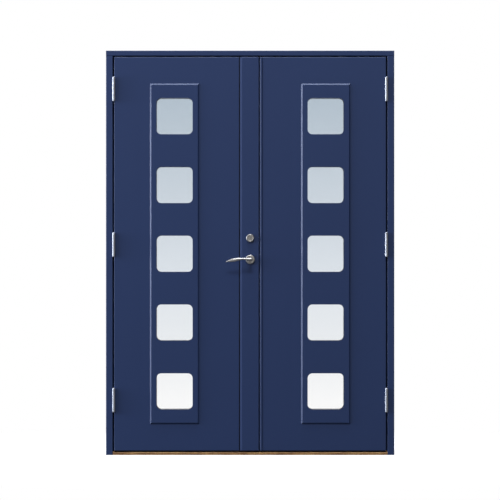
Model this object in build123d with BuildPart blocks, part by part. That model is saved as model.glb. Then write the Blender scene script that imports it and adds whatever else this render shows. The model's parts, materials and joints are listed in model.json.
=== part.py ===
"""A pair of front-door leaves with five windows each, hung in a rebated frame on an oak threshold.

Millimetres. The origin is under the middle of the threshold. X runs to the right
as seen from outside, Y runs indoors and Z runs up.
"""

import os

from build123d import *

# Frame
frame_width = 1490.0
frame_height = 2090.0
frame_depth = 115.0
jamb_face = 35.0
head_face = 27.0
stop_depth = 42.0
stop_lap = 8.6
arris = 3.0

# Oak threshold: heights of its nose, rebate, stop and indoor edge
sill_nose = 14.0
sill_rebate = 18.0
sill_stop = 34.0
sill_back = 20.0
sill_stop_width = 20.0

# Screw holes that fix the jambs to the wall
fixing_radius = 7.0
fixing_y = -4.0
fixing_heights = [130.0, 690.0, 1480.0, 2000.0]

# Leaves: the meeting edges fall back indoors so that each leaf swings free
leaf_thickness = 62.0
leaf_bottom = 24.0
side_gap = 7.4
top_gap = 6.0
meeting_x = 45.0
meeting_gap = 6.0
meeting_relief = 3.5
meeting_chamfer = 6.0

# Cover strip down the lock side of the left leaf
strip_left = -52.6
strip_right = 44.0
strip_groove = 5.2
strip_recess = 16.0
strip_proud = 2.0
strip_bevel = 10.4
strip_bevel_drop = 3.4

# Raised window boards and the five windows of each leaf
board_x = 390.6
board_width = 254.0
board_bottom = 160.5
board_top = 1919.5
board_proud = 7.0
board_taper = 45.0
window_size = 187.0
window_round = 25.0
window_pitch = 355.5
window_count = 5
glass_hole = 207.0
pane_size = 203.0
pane_thickness = 4.0
liner_wall = 8.0

# Lift-off hinges: two knuckles on one pin, each with a plate let into the wood
hinge_heights = {"bottom": 284.0, "middle": 1087.0, "top": 1891.0}
hinge_length = 128.0
knuckle_radius = 7.75
knuckle_dome = 5.0
knuckle_joint = 0.4
hinge_standoff = 8.5
hinge_x = 704.5
pin_radius = 4.0
pin_rise = 44.0
bore_radius = 4.4
plate_thickness = 2.5
plate_height = 50.0
plate_reach = 40.0

# Lever set and cylinder
lever_height = 1011.0
cylinder_height = 1121.0
rose_radius = 24.0
rose_height = 9.0
rose_dish_radius = 16.5
rose_dish_depth = 3.0
neck_radius = 8.0
neck_hole_radius = 8.5
lever_reach = 42.0
spindle_width = 8.0
spindle_hole_radius = 11.0
cylinder_radius = 21.75
cylinder_rise = 11.0
cylinder_taper = 16.0
cylinder_dish_radius = 14.5
cylinder_dish_depth = 2.4
plug_radius = 9.5
plug_rise = 1.4
keyway_width = 2.4
keyway_height = 11.0
turn_length = 34.0
turn_width = 13.0
turn_rise = 18.0

# Feather-shaped lever blade: distance from the spindle, top edge, height, thickness, bow
lever_sections = [
    (-11.0, 1.8, 3.6, 3.6, 0.0),
    (-9.6, 4.9, 9.8, 9.8, 0.0),
    (-6.4, 7.4, 14.8, 14.8, 0.0),
    (-1.0, 8.2, 16.4, 16.4, 0.0),
    (14.0, 8.4, 14.8, 14.0, 1.0),
    (30.0, 8.2, 11.2, 12.5, 2.5),
    (46.0, 8.0, 11.6, 12.0, 3.5),
    (60.0, 8.2, 15.0, 11.5, 4.0),
    (74.0, 7.4, 18.2, 11.0, 3.5),
    (88.0, 5.0, 17.8, 10.0, 2.5),
    (102.0, 0.8, 13.8, 8.5, 1.0),
    (114.0, -4.6, 8.6, 6.5, -1.0),
    (122.0, -9.2, 4.2, 4.0, -2.0),
    (126.5, -12.0, 1.4, 2.0, -3.0),
]

# Lock plates on the meeting edges
edge_depth = 38.0
forend_width = 22.0
forend_height = 235.0
forend_thickness = 3.0
bolt_slot_depth = 1.2
lock_slots = [(-55.0, 13.0, 34.0), (55.0, 13.0, 24.0)]
flush_bolt_height = 180.0
flush_bolt_width = 20.0
flush_bolt_inset = 20.0
flush_bolt_slots = [(0.0, 10.0, 60.0)]

# Rubber seals
seal_width = 6.0
seal_gap = 0.7
sweep_gap = 2.2
meeting_seal_depth = 10.0
meeting_seal_tip = 44.9
seal_seat = 3.0

# Places that follow from the sizes above
outside = -frame_depth / 2
inside = frame_depth / 2
leaf_inside = outside + leaf_thickness
stop_face = inside - stop_depth
rebate_x = frame_width / 2 - jamb_face
leaf_edge_x = rebate_x - side_gap
stop_x = leaf_edge_x - stop_lap
head_under = frame_height - head_face
leaf_top = head_under - top_gap
leaf_height = leaf_top - leaf_bottom
head_stop = leaf_top - stop_lap
strip_face = outside - strip_proud
hinge_y = outside - hinge_standoff
board_middle = (board_bottom + board_top) / 2
board_height = board_top - board_bottom
lock_height = (lever_height + cylinder_height) / 2
flush_bolt_end = flush_bolt_inset + flush_bolt_height / 2
flush_bolt_heights = {"bottom": leaf_bottom + flush_bolt_end, "top": leaf_top - flush_bolt_end}

outdoor_face = Plane(origin=(0, outside, 0), x_dir=(1, 0, 0), z_dir=(0, -1, 0))
indoor_face = Plane(origin=(0, leaf_inside, 0), x_dir=(-1, 0, 0), z_dir=(0, 1, 0))
strip_plane = Plane(origin=(0, strip_face, 0), x_dir=(1, 0, 0), z_dir=(0, -1, 0))
sides = {"left": -1, "right": 1}

os.makedirs("parts", exist_ok=True)


def save(builder, name):
    """Label a finished piece and write it as its own STEP file."""
    builder.part.label = name
    export_step(builder.part, f"parts/{name}.step")


def meeting_edge(side, depth):
    """X of a leaf's meeting edge at a depth behind its outside face."""
    fall = meeting_relief * depth / leaf_thickness
    return meeting_x - fall if side < 0 else meeting_x + meeting_gap + fall


def edge_plane(side, height):
    """Plane on a leaf's meeting edge, facing out of the leaf, with its Y pointing up."""
    origin = (meeting_edge(side, edge_depth), outside + edge_depth, height)
    along = (-meeting_relief, -side * leaf_thickness, 0)
    outward = (-side * leaf_thickness, meeting_relief, 0)
    return Plane(origin=origin, x_dir=along, z_dir=outward)


def facing(plane):
    """Axis that points the way a plane faces, to sort faces and edges by."""
    return Axis((0, 0, 0), plane.z_dir)


def window_places():
    """Centres of one board's windows, measured from the middle of the board."""
    return GridLocations(0, window_pitch, 1, window_count)


def hinge_plate_box(side, x_from, x_to, low):
    """Middle and size of a hinge's flat, from the pin's axis back into the rebate."""
    middle = (side * (x_from + x_to) / 2, hinge_y + hinge_standoff / 2 + plate_reach / 2, low + plate_height / 2)
    return middle, (abs(x_to - x_from), hinge_standoff + plate_reach, plate_height)


def plate_low(middle, upper):
    """Lowest point of a hinge plate: centred on its own knuckle."""
    knuckle_middle = middle + (hinge_length / 4 if upper else -hinge_length / 4)
    return knuckle_middle - plate_height / 2


def make_jamb(name, side):
    """Jamb under the head, with its rebate, hinge seats and fixing holes."""
    outer = side * frame_width / 2
    rebate = side * rebate_x
    stop = side * stop_x
    with BuildPart() as jamb:
        with BuildSketch() as profile:
            with BuildLine():
                Polyline(
                    (outer, outside),
                    (rebate, outside),
                    (rebate, stop_face),
                    (stop, stop_face),
                    (stop, inside),
                    (outer, inside),
                    close=True,
                )
            make_face()
            fillet(profile.vertices().group_by(Axis.Y)[0], arris)
            fillet(profile.vertices().group_by(Axis.Y)[-1], arris)
        extrude(amount=head_under)
        for middle in hinge_heights.values():
            place, size = hinge_plate_box(side, rebate_x, rebate_x + plate_thickness, plate_low(middle, False))
            with Locations(place):
                Box(*size, mode=Mode.SUBTRACT)
        for height in fixing_heights:
            with Locations(Plane(origin=(outer, fixing_y, height), z_dir=(side, 0, 0))):
                Hole(fixing_radius, depth=2 * jamb_face)
    save(jamb, name)


def notch_for_stops(end_x, low, high):
    """Cut both ends of a cross piece back to the stops of the jambs."""
    for side in sides.values():
        with Locations((side * (stop_x + end_x) / 2, (stop_face + inside) / 2, (low + high) / 2)):
            Box(end_x - stop_x, stop_depth, high - low, mode=Mode.SUBTRACT)


def make_head():
    """Head across the tops of the jambs, rebated like them."""
    with BuildPart() as head:
        with BuildSketch(Plane.YZ) as profile:
            with BuildLine():
                Polyline(
                    (outside, frame_height),
                    (outside, head_under),
                    (stop_face, head_under),
                    (stop_face, head_stop),
                    (inside, head_stop),
                    (inside, frame_height),
                    close=True,
                )
            make_face()
            fillet(profile.vertices().group_by(Axis.X)[0], arris)
            fillet(profile.vertices().group_by(Axis.X)[-1], arris)
        extrude(amount=frame_width / 2, both=True)
        notch_for_stops(frame_width / 2, head_stop, head_under)
    save(head, "head")


def make_threshold():
    """Oak threshold: a sloping nose outside, a stop behind the leaves, a bevel indoors."""
    with BuildPart() as threshold:
        with BuildSketch(Plane.YZ) as profile:
            with BuildLine():
                Polyline(
                    (outside, 0),
                    (outside, sill_nose),
                    (stop_face, sill_rebate),
                    (stop_face, sill_stop),
                    (stop_face + sill_stop_width, sill_stop),
                    (inside, sill_back),
                    (inside, 0),
                    close=True,
                )
            make_face()
            rounded = profile.vertices().filter_by_position(Axis.Y, sill_nose, sill_nose)
            fillet(rounded + profile.vertices().filter_by_position(Axis.Y, sill_back, sill_back), arris)
            fillet(profile.vertices().filter_by_position(Axis.Y, sill_stop, sill_stop), 2 * arris)
        extrude(amount=rebate_x, both=True)
        notch_for_stops(rebate_x, 0, sill_stop)
    save(threshold, "threshold")


def make_jamb_seal(name, side):
    """Rubber bulb on the face of a jamb's stop."""
    front = leaf_inside + seal_gap
    with BuildPart() as seal:
        with BuildSketch(Plane.XY.offset(sill_stop)) as profile:
            with Locations((side * (stop_x + leaf_edge_x) / 2, (front + stop_face) / 2)):
                Rectangle(seal_width, stop_face - front)
            fillet(profile.vertices().group_by(Axis.Y)[0], seal_width / 2 - 0.1)
        extrude(amount=head_under - sill_stop)
    save(seal, name)


def make_head_seal():
    """Rubber bulb on the face of the head's stop, between the two upright ones."""
    front = leaf_inside + seal_gap
    half = (stop_x + leaf_edge_x) / 2 - seal_width / 2
    with BuildPart() as seal:
        with BuildSketch(Plane.YZ) as profile:
            with Locations(((front + stop_face) / 2, (head_stop + leaf_top) / 2)):
                Rectangle(stop_face - front, seal_width)
            fillet(profile.vertices().group_by(Axis.X)[0], seal_width / 2 - 0.1)
        extrude(amount=half, both=True)
    save(seal, "head_seal")


def make_slab(name, side):
    """Insulated leaf with its glazing holes, bevelled meeting edge, hinge and lock seats."""
    hinge_edge = side * leaf_edge_x
    indoor_corner = (meeting_edge(side, leaf_thickness), leaf_inside)
    if side < 0:
        groove_left = strip_left - strip_groove
        meeting = [
            (groove_left, outside),
            (groove_left, outside + strip_recess),
            (meeting_edge(side, strip_recess), outside + strip_recess),
        ]
    else:
        meeting = [
            (meeting_edge(side, 0) + meeting_chamfer, outside),
            (meeting_edge(side, meeting_chamfer), outside + meeting_chamfer),
        ]
    with BuildPart() as slab:
        with BuildSketch(Plane.XY.offset(leaf_bottom)):
            with BuildLine():
                Polyline((hinge_edge, outside), *meeting, indoor_corner, (hinge_edge, leaf_inside), close=True)
            make_face()
        extrude(amount=leaf_height)
        upright = slab.edges().filter_by(Axis.Z).filter_by_position(Axis.X, hinge_edge, hinge_edge)
        fillet(upright, arris)
        fillet(slab.faces().sort_by(Axis.Z)[-1].edges().group_by(Axis.Y)[0], arris)
        with BuildSketch(outdoor_face):
            with Locations((side * board_x, board_middle)):
                with window_places():
                    Rectangle(glass_hole, glass_hole)
        extrude(amount=-leaf_thickness, mode=Mode.SUBTRACT)
        for middle in hinge_heights.values():
            place, size = hinge_plate_box(side, leaf_edge_x - plate_thickness, leaf_edge_x, plate_low(middle, True))
            with Locations(place):
                Box(*size, mode=Mode.SUBTRACT)
        with BuildSketch(edge_plane(side, lock_height)):
            RectangleRounded(forend_width, forend_height, arris)
        extrude(amount=-forend_thickness, mode=Mode.SUBTRACT)
        if side < 0:
            with BuildSketch(outdoor_face):
                with Locations((0, lever_height)):
                    Circle(spindle_hole_radius)
            extrude(amount=-leaf_thickness, mode=Mode.SUBTRACT)
        else:
            seat_x = meeting_edge(side, meeting_seal_depth)
            with Locations((seat_x, outside + meeting_seal_depth + seal_width / 2, leaf_bottom + leaf_height / 2)):
                Box(2 * seal_seat, seal_width, leaf_height, mode=Mode.SUBTRACT)
            for height in flush_bolt_heights.values():
                with BuildSketch(edge_plane(side, height)):
                    RectangleRounded(flush_bolt_width, flush_bolt_height, arris)
                extrude(amount=-forend_thickness, mode=Mode.SUBTRACT)
    save(slab, name)


def make_board(name, side, face):
    """Raised board with bevelled edges and five round-cornered windows."""
    mirrored = face.x_dir.X
    with BuildPart() as board:
        with BuildSketch(face):
            with Locations((mirrored * side * board_x, board_middle)):
                Rectangle(board_width, board_height)
        extrude(amount=board_proud, taper=board_taper)
        with BuildSketch(face):
            with Locations((mirrored * side * board_x, board_middle)):
                with window_places():
                    RectangleRounded(window_size, window_size, window_round)
        extrude(amount=board_proud, mode=Mode.SUBTRACT)
    save(board, name)


def make_panes(name, side, face):
    """Five sheets of glass, bedded against the back of a window board."""
    mirrored = face.x_dir.X
    with BuildPart() as panes:
        with BuildSketch(face):
            with Locations((mirrored * side * board_x, board_middle)):
                with window_places():
                    RectangleRounded(pane_size, pane_size, arris)
        extrude(amount=-pane_thickness)
    save(panes, name)


def make_liners(name, side):
    """Five spacer frames that hold the two sheets of each window apart."""
    with BuildPart() as liners:
        with BuildSketch(outdoor_face.offset(-pane_thickness)):
            with Locations((side * board_x, board_middle)):
                with window_places():
                    Rectangle(glass_hole, glass_hole)
                with window_places():
                    inner = glass_hole - 2 * liner_wall
                    RectangleRounded(inner, inner, window_round - liner_wall, mode=Mode.SUBTRACT)
        extrude(amount=-(leaf_thickness - 2 * pane_thickness))
    save(liners, name)


def make_cover_strip():
    """Strip with a wide shallow bevel along its groove, let into the lock side of the left leaf."""
    with BuildPart() as strip:
        with BuildSketch(Plane.XY.offset(leaf_bottom)) as profile:
            with BuildLine():
                Polyline(
                    (strip_left, outside + strip_recess),
                    (strip_left, strip_face + strip_bevel_drop),
                    (strip_left + strip_bevel, strip_face),
                    (strip_right, strip_face),
                    (strip_right, outside + strip_recess),
                    close=True,
                )
            make_face()
            fillet(profile.vertices().group_by(Axis.Y)[0], arris)
        extrude(amount=leaf_height)
        fillet(strip.faces().sort_by(Axis.Z)[-1].edges().group_by(Axis.Y)[0], arris)
        with BuildSketch(strip_plane):
            with Locations((0, lever_height)):
                Circle(spindle_hole_radius)
        extrude(amount=-(strip_recess + strip_proud), mode=Mode.SUBTRACT)
    save(strip, "cover_strip")


def make_bottom_sweep(name, side):
    """Rubber blade under a leaf that closes the gap over the threshold."""
    hinge_end = side * (leaf_edge_x - arris)
    meeting_end = meeting_edge(side, leaf_thickness)
    depth = outside + meeting_seal_depth
    slope = (sill_rebate - sill_nose) / (stop_face - outside)
    foot = sill_nose + slope * (meeting_seal_depth + seal_width) + sweep_gap
    with BuildPart() as sweep:
        with BuildSketch(Plane.XY.offset(foot)):
            with Locations(((hinge_end + meeting_end) / 2, depth + seal_width / 2)):
                Rectangle(abs(meeting_end - hinge_end), seal_width)
        extrude(amount=leaf_bottom - foot)
    save(sweep, name)


def make_meeting_seal():
    """Rubber strip in the meeting edge of the right leaf."""
    seat = meeting_edge(1, meeting_seal_depth) + seal_seat
    with BuildPart() as seal:
        with BuildSketch(Plane.XY.offset(leaf_bottom)) as profile:
            with Locations(((meeting_seal_tip + seat) / 2, outside + meeting_seal_depth + seal_width / 2)):
                Rectangle(seat - meeting_seal_tip, seal_width)
            fillet(profile.vertices().group_by(Axis.X)[0], seal_width / 3)
        extrude(amount=leaf_height)
    save(seal, "meeting_seal")


def make_edge_plate(name, side, height, width, length, slots):
    """Flat plate let into a meeting edge, with shallow slots given as (offset, width, height)."""
    with BuildPart() as plate:
        with BuildSketch(edge_plane(side, height)):
            RectangleRounded(width, length, arris)
        extrude(amount=-forend_thickness)
        with BuildSketch(edge_plane(side, height)):
            for offset, slot_width, slot_height in slots:
                with Locations((0, offset)):
                    RectangleRounded(slot_width, slot_height, arris / 2)
        extrude(amount=-bolt_slot_depth, mode=Mode.SUBTRACT)
    save(plate, name)


def make_hinge_half(name, side, middle, upper):
    """One knuckle and its plate: the upper half hangs on the pin of the lower one."""
    joint = middle + (knuckle_joint if upper else -knuckle_joint)
    far = middle + (hinge_length / 2 if upper else -hinge_length / 2)
    flat_from = leaf_edge_x - plate_thickness if upper else rebate_x
    axis_plane = Plane.XY.offset(min(joint, far))
    with BuildPart() as half:
        with BuildSketch(axis_plane):
            with Locations((side * hinge_x, hinge_y)):
                Circle(knuckle_radius)
        extrude(amount=abs(far - joint))
        round_ends = half.edges().filter_by(GeomType.CIRCLE).sort_by(Axis.Z)
        fillet(round_ends[-1] if upper else round_ends[0], knuckle_dome)
        place, size = hinge_plate_box(side, flat_from, flat_from + plate_thickness, plate_low(middle, upper))
        with Locations(place):
            Box(*size)
        if upper:
            with BuildSketch(axis_plane):
                with Locations((side * hinge_x, hinge_y)):
                    Circle(bore_radius)
            extrude(amount=pin_rise + 2 * knuckle_joint, mode=Mode.SUBTRACT)
        else:
            with BuildSketch(Plane.XY.offset(joint)):
                with Locations((side * hinge_x, hinge_y)):
                    Circle(pin_radius)
            extrude(amount=pin_rise)
    save(half, name)


def make_rose(name, face):
    """Round rose of the lever, dished inside its rim and bored for the neck."""
    with BuildPart() as rose:
        with BuildSketch(face):
            with Locations((0, lever_height)):
                Circle(rose_radius)
        extrude(amount=rose_height)
        fillet(rose.faces().sort_by(facing(face))[-1].edges(), rose_height / 2)
        with BuildSketch(face.offset(rose_height)):
            with Locations((0, lever_height)):
                Circle(rose_dish_radius)
        extrude(amount=-rose_dish_depth, mode=Mode.SUBTRACT)
        with BuildSketch(face):
            with Locations((0, lever_height)):
                Circle(neck_hole_radius)
        extrude(amount=rose_height, mode=Mode.SUBTRACT)
    save(rose, name)


def make_lever(name, face, spindle_length):
    """Lever: a round neck out of the rose and a feather-shaped blade, round-ended, that droops to a point."""
    outward = face.z_dir.Y
    blade_y = face.origin.Y + outward * lever_reach
    with BuildPart() as lever:
        with BuildSketch(face.offset(arris)):
            with Locations((0, lever_height)):
                Circle(neck_radius)
        extrude(amount=lever_reach - arris)
        for along, top, height, thickness, bow in lever_sections:
            with BuildSketch(Plane.YZ.offset(-along)):
                with Locations((blade_y + outward * bow, lever_height + top - height / 2)):
                    Ellipse(thickness / 2, height / 2)
        loft()
        if spindle_length:
            with BuildSketch(face.offset(arris)):
                with Locations((0, lever_height)):
                    Rectangle(spindle_width, spindle_width)
            extrude(amount=-spindle_length)
    save(lever, name)


def make_outside_cylinder():
    """Tapered guard ring, dished, with the key plug in its middle."""
    rim = strip_plane.offset(cylinder_rise)
    with BuildPart() as cylinder:
        with BuildSketch(strip_plane):
            with Locations((0, cylinder_height)):
                Circle(cylinder_radius)
        extrude(amount=cylinder_rise, taper=cylinder_taper)
        fillet(cylinder.faces().sort_by(facing(strip_plane))[-1].edges(), arris)
        with BuildSketch(rim):
            with Locations((0, cylinder_height)):
                Circle(cylinder_dish_radius)
        extrude(amount=-cylinder_dish_depth, mode=Mode.SUBTRACT)
        with BuildSketch(rim.offset(-cylinder_dish_depth)):
            with Locations((0, cylinder_height)):
                Circle(plug_radius)
        extrude(amount=plug_rise)
        with BuildSketch(rim.offset(plug_rise - cylinder_dish_depth)):
            with Locations((0, cylinder_height)):
                Rectangle(keyway_width, keyway_height)
        extrude(amount=-arris, mode=Mode.SUBTRACT)
    save(cylinder, "outside_cylinder")


def make_thumb_turn():
    """Indoor thumb-turn on its round rose."""
    with BuildPart() as turn:
        with BuildSketch(indoor_face):
            with Locations((0, cylinder_height)):
                Circle(cylinder_radius)
        extrude(amount=rose_height)
        fillet(turn.faces().sort_by(facing(indoor_face))[-1].edges(), rose_height / 3)
        with BuildSketch(indoor_face.offset(rose_height)):
            with Locations((0, cylinder_height)):
                SlotOverall(turn_length, turn_width, rotation=90)
        extrude(amount=turn_rise)
        fillet(turn.faces().sort_by(facing(indoor_face))[-1].edges(), arris)
    save(turn, "thumb_turn")


for side_name, side in sides.items():
    make_jamb(f"{side_name}_jamb", side)
    make_jamb_seal(f"{side_name}_jamb_seal", side)
    make_slab(f"{side_name}_leaf_slab", side)
    make_board(f"{side_name}_outside_board", side, outdoor_face)
    make_board(f"{side_name}_inside_board", side, indoor_face)
    make_panes(f"{side_name}_outside_panes", side, outdoor_face)
    make_panes(f"{side_name}_inside_panes", side, indoor_face)
    make_liners(f"{side_name}_window_spacers", side)
    make_bottom_sweep(f"{side_name}_bottom_sweep", side)
    for level, middle in hinge_heights.items():
        make_hinge_half(f"{side_name}_{level}_hinge_leaf_half", side, middle, True)
        make_hinge_half(f"{side_name}_{level}_hinge_frame_half", side, middle, False)

make_head()
make_head_seal()
make_threshold()
make_cover_strip()
make_meeting_seal()
make_rose("outside_lever_rose", strip_plane)
make_rose("inside_lever_rose", indoor_face)
make_lever("outside_lever", strip_plane, leaf_thickness + strip_proud + 2 * arris)
make_lever("inside_lever", indoor_face, 0)
make_outside_cylinder()
make_thumb_turn()
make_edge_plate("lock_forend", -1, lock_height, forend_width, forend_height, lock_slots)
make_edge_plate("strike_plate", 1, lock_height, forend_width, forend_height, lock_slots)
for level, height in flush_bolt_heights.items():
    make_edge_plate(f"{level}_flush_bolt", 1, height, flush_bolt_width, flush_bolt_height, flush_bolt_slots)
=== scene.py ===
# %% [markdown]
# A pair of front doors in their frame, seen straight on, as in a maker's picture.
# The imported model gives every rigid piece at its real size. This lesson gives the pieces their
# finishes, adds the soft seals and the small screws, and sets up a plain studio around them.

# %% Load the frame
import json
import math

import bmesh
import bpy
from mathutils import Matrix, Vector


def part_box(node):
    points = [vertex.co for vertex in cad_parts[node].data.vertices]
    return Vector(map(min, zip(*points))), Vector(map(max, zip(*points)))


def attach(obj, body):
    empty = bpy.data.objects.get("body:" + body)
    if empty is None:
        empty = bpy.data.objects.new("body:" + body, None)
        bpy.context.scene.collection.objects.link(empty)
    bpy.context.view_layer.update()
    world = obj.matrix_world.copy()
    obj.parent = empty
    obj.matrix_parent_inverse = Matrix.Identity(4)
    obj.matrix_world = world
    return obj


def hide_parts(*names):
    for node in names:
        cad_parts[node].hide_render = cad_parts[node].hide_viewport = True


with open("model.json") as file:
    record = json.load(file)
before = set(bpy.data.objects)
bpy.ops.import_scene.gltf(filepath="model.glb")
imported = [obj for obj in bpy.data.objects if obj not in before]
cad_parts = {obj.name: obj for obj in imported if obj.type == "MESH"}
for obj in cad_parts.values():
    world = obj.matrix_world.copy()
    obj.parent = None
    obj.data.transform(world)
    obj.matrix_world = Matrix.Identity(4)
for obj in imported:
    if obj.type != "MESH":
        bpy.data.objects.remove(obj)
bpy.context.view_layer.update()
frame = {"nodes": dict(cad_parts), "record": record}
nodes = frame["nodes"]
MM = 0.001

# %% [markdown]
# Colours are written as sRGB hex values, the way a paint chart or a picture program gives them.
# Blender's shaders work in linear light, so one function turns a hex value into that.
# A second function adds a node, sets it and links it, so that each finish reads as a short list.
# Nodes could be placed by hand in the editor, but a script can be read, repeated and compared.

# %% Helpers for colours and nodes
def linear(hex_colour):
    """Linear RGBA of an sRGB hex colour."""
    parts = [int(hex_colour[i:i + 2], 16) / 255 for i in (1, 3, 5)]
    return [c / 12.92 if c <= 0.04045 else ((c + 0.055) / 1.055) ** 2.4 for c in parts] + [1.0]


def add(tree, kind, inputs=None, **settings):
    """Add a node, with its settings, and its inputs set to values or linked to sockets."""
    node = tree.nodes.new(kind)
    for name, value in settings.items():
        setattr(node, name, value)
    for name, value in (inputs or {}).items():
        if isinstance(value, bpy.types.NodeSocket):
            tree.links.new(value, node.inputs[name])
        else:
            node.inputs[name].default_value = value
    return node


def finish_material(name, build):
    """A new material whose shader is made by build(tree, object coordinates)."""
    material = bpy.data.materials.new(name)
    material.use_nodes = True
    tree = material.node_tree
    tree.nodes.clear()
    place = add(tree, "ShaderNodeTexCoord").outputs["Object"]
    shader = build(tree, place)
    add(tree, "ShaderNodeOutputMaterial", {"Surface": shader.outputs["BSDF"]})
    print("material:", name, "with", len(tree.nodes), "nodes")
    return material


def per_metre(size_mm):
    """Scale of a texture whose features are size_mm apart."""
    return 1000.0 / size_mm


# %% [markdown]
# The leaves and the frame are sprayed with a satin paint over smooth board.
# The eye sees a deep blue with a soft broad gloss. Close up, spray leaves a fine orange peel,
# a few millimetres across, and the tone drifts a little over a whole leaf. One flat colour would look
# like plastic film, so two noises at those real sizes vary the tone, the gloss and the height.

# %% Satin blue paint
PAINT_BLUE = "#20335A"
PAINT_DEEP = "#1E3056"
PAINT_ROUGHNESS = (0.40, 0.48)
PAINT_SPECULAR = 0.4
ORANGE_PEEL_MM = 3.0
PEEL_HEIGHT_MM = 0.05
TONE_DRIFT_MM = 450.0


def satin_paint(tree, place):
    drift = add(tree, "ShaderNodeTexNoise", {
        "Vector": place, "Scale": per_metre(TONE_DRIFT_MM), "Detail": 3.0})
    tone = add(tree, "ShaderNodeMix", {
        "Factor": drift.outputs["Fac"], "A": linear(PAINT_BLUE), "B": linear(PAINT_DEEP)}, data_type="RGBA")
    peel = add(tree, "ShaderNodeTexNoise", {
        "Vector": place, "Scale": per_metre(ORANGE_PEEL_MM), "Detail": 2.0})
    gloss = add(tree, "ShaderNodeMapRange", {
        "Value": peel.outputs["Fac"], "To Min": PAINT_ROUGHNESS[0], "To Max": PAINT_ROUGHNESS[1]})
    bump = add(tree, "ShaderNodeBump", {
        "Height": peel.outputs["Fac"], "Strength": 0.12, "Distance": PEEL_HEIGHT_MM * MM})
    return add(tree, "ShaderNodeBsdfPrincipled", {
        "Base Color": tone.outputs["Result"], "Roughness": gloss.outputs["Result"],
        "Normal": bump.outputs["Normal"], "Specular IOR Level": PAINT_SPECULAR})


PAINT = finish_material("satin_paint_on_board", satin_paint)

# %% [markdown]
# The threshold is solid oak, oiled. Its grain runs along the board: long patches from the growth
# rings, lighter and darker, and short fine pores. A picture of oak could be wrapped round the board, but
# noise that is stretched along X gives both and runs on over the edges. A third noise, squeezed the other
# way, gives the fleck that crosses the grain of sawn oak.

# %% Oiled oak
OAK_DARK = "#6D4822"
OAK_MID = "#9E723F"
OAK_LIGHT = "#C0955A"
OAK_ROUGHNESS = 0.5
RING_MM = 9.0
RING_LIMITS = (0.34, 0.66)
PORE_MM = 1.1
PORE_DEPTH_MM = 0.3
FLECK_MM = 4.0
GRAIN_STRETCH = (0.09, 1.0, 1.0)
FLECK_STRETCH = (1.0, 0.3, 0.2)


def oiled_oak(tree, place):
    along = add(tree, "ShaderNodeMapping", {"Vector": place, "Scale": GRAIN_STRETCH})
    upright = add(tree, "ShaderNodeMapping", {"Vector": place, "Scale": FLECK_STRETCH})
    rings = add(tree, "ShaderNodeTexNoise", {
        "Vector": along.outputs["Vector"], "Scale": per_metre(RING_MM), "Detail": 6.0, "Distortion": 0.6})
    pores = add(tree, "ShaderNodeTexNoise", {
        "Vector": along.outputs["Vector"], "Scale": per_metre(PORE_MM), "Detail": 3.0})
    flecks = add(tree, "ShaderNodeTexNoise", {
        "Vector": upright.outputs["Vector"], "Scale": per_metre(FLECK_MM), "Detail": 2.0})
    bands = add(tree, "ShaderNodeValToRGB", {"Fac": rings.outputs["Fac"]})
    ramp = bands.color_ramp.elements
    for stop, limit, colour in zip(ramp, RING_LIMITS, (OAK_DARK, OAK_LIGHT)):
        stop.position = limit
        stop.color = linear(colour)
    ramp.new(0.5).color = linear(OAK_MID)
    dark = add(tree, "ShaderNodeMapRange", {
        "Value": pores.outputs["Fac"], "From Min": 0.3, "From Max": 0.6, "To Min": 0.7, "To Max": 1.0})
    tick = add(tree, "ShaderNodeMapRange", {
        "Value": flecks.outputs["Fac"], "From Min": 0.35, "From Max": 0.65, "To Min": 0.75, "To Max": 1.1})
    shade = add(tree, "ShaderNodeMath", {
        0: dark.outputs["Result"], 1: tick.outputs["Result"]}, operation="MULTIPLY")
    grain = add(tree, "ShaderNodeMix", {
        "Factor": 1.0, "A": bands.outputs["Color"], "B": shade.outputs["Value"]},
        data_type="RGBA", blend_type="MULTIPLY")
    bump = add(tree, "ShaderNodeBump", {
        "Height": pores.outputs["Fac"], "Strength": 0.3, "Distance": PORE_DEPTH_MM * MM})
    return add(tree, "ShaderNodeBsdfPrincipled", {
        "Base Color": grain.outputs["Result"], "Roughness": OAK_ROUGHNESS, "Normal": bump.outputs["Normal"]})


OAK = finish_material("oiled_oak", oiled_oak)

# %% [markdown]
# The windows are double glazed, with glass that is only lightly satin, so the white behind the door shows
# through. The panes look blue-grey at the top and almost clear at the bottom, and that change is painted
# reflection: it stands in for how the backdrop is mirrored in the glass, not for a tint of the glass itself.
# Each window could have a finish of its own, but one painted reflection that follows the height of the leaf
# serves all ten, from every side. Light goes through two panes, so each one carries the square root of what
# the eye sees.

# %% Satin glass with a painted reflection
# Colours of the painted reflection, high, halfway and low on the leaf
GLASS_REFLECTION_HIGH = "#D5DDE4"
GLASS_REFLECTION_MIDDLE = "#EAEEF2"
GLASS_REFLECTION_LOW = "#FEFEFE"
GLASS_HIGH_MM = 1845.0
GLASS_LOW_MM = 235.0
GLASS_IOR = 1.45
GLASS_ROUGHNESS = (0.03, 0.08)
ETCH_MM = 0.8


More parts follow.
